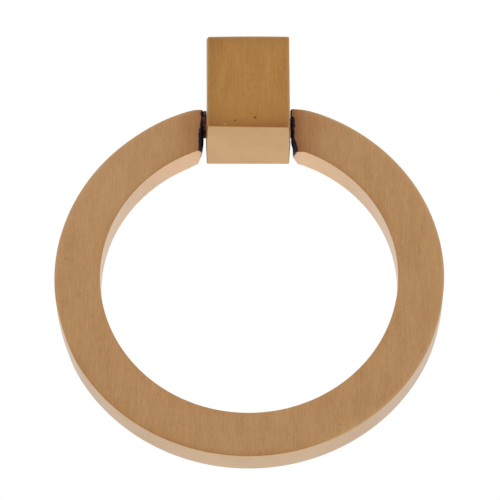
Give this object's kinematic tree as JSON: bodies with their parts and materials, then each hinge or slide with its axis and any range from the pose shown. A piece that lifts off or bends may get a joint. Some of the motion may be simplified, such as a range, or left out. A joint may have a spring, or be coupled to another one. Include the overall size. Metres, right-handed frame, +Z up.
{
  "type": "ring pull handle",
  "caption": "Ring pull for a drawer or cabinet door: a flat square-edged satin bronze ring swings on a cross pin in a rectangular block that is screwed on from behind.",
  "frame": {"origin": "mouth of the tapped screw hole, on the block's flat mounting face", "axes": "+X to the right along the pivot pin, +Y back into the drawer front along the screw hole, +Z up"},
  "size_m": [0.076, 0.0162, 0.0861],
  "materials": {
    "block_bronze": "satin brushed bronze, brush lines running up and down",
    "ring_bronze": "satin brushed bronze, darkened at the two ends",
    "pin_bronze": "turned bronze, ends ground flush",
    "washer_dark": "blackened bronze"
  },
  "bodies": {
    "block": {"mounting_block": "block_bronze"},
    "ring": {"pull_ring": "ring_bronze", "pivot_pin": "pin_bronze", "left_spacer_washer": "washer_dark", "right_spacer_washer": "washer_dark"}
  },
  "joints": [
    {"name": "ring_swing", "type": "hinge", "parent": "block", "child": "ring", "pos_m": [0, -0.0042, -0.0072], "axis": [-1, 0, 0], "range_deg": [0, 180]}
  ]
}
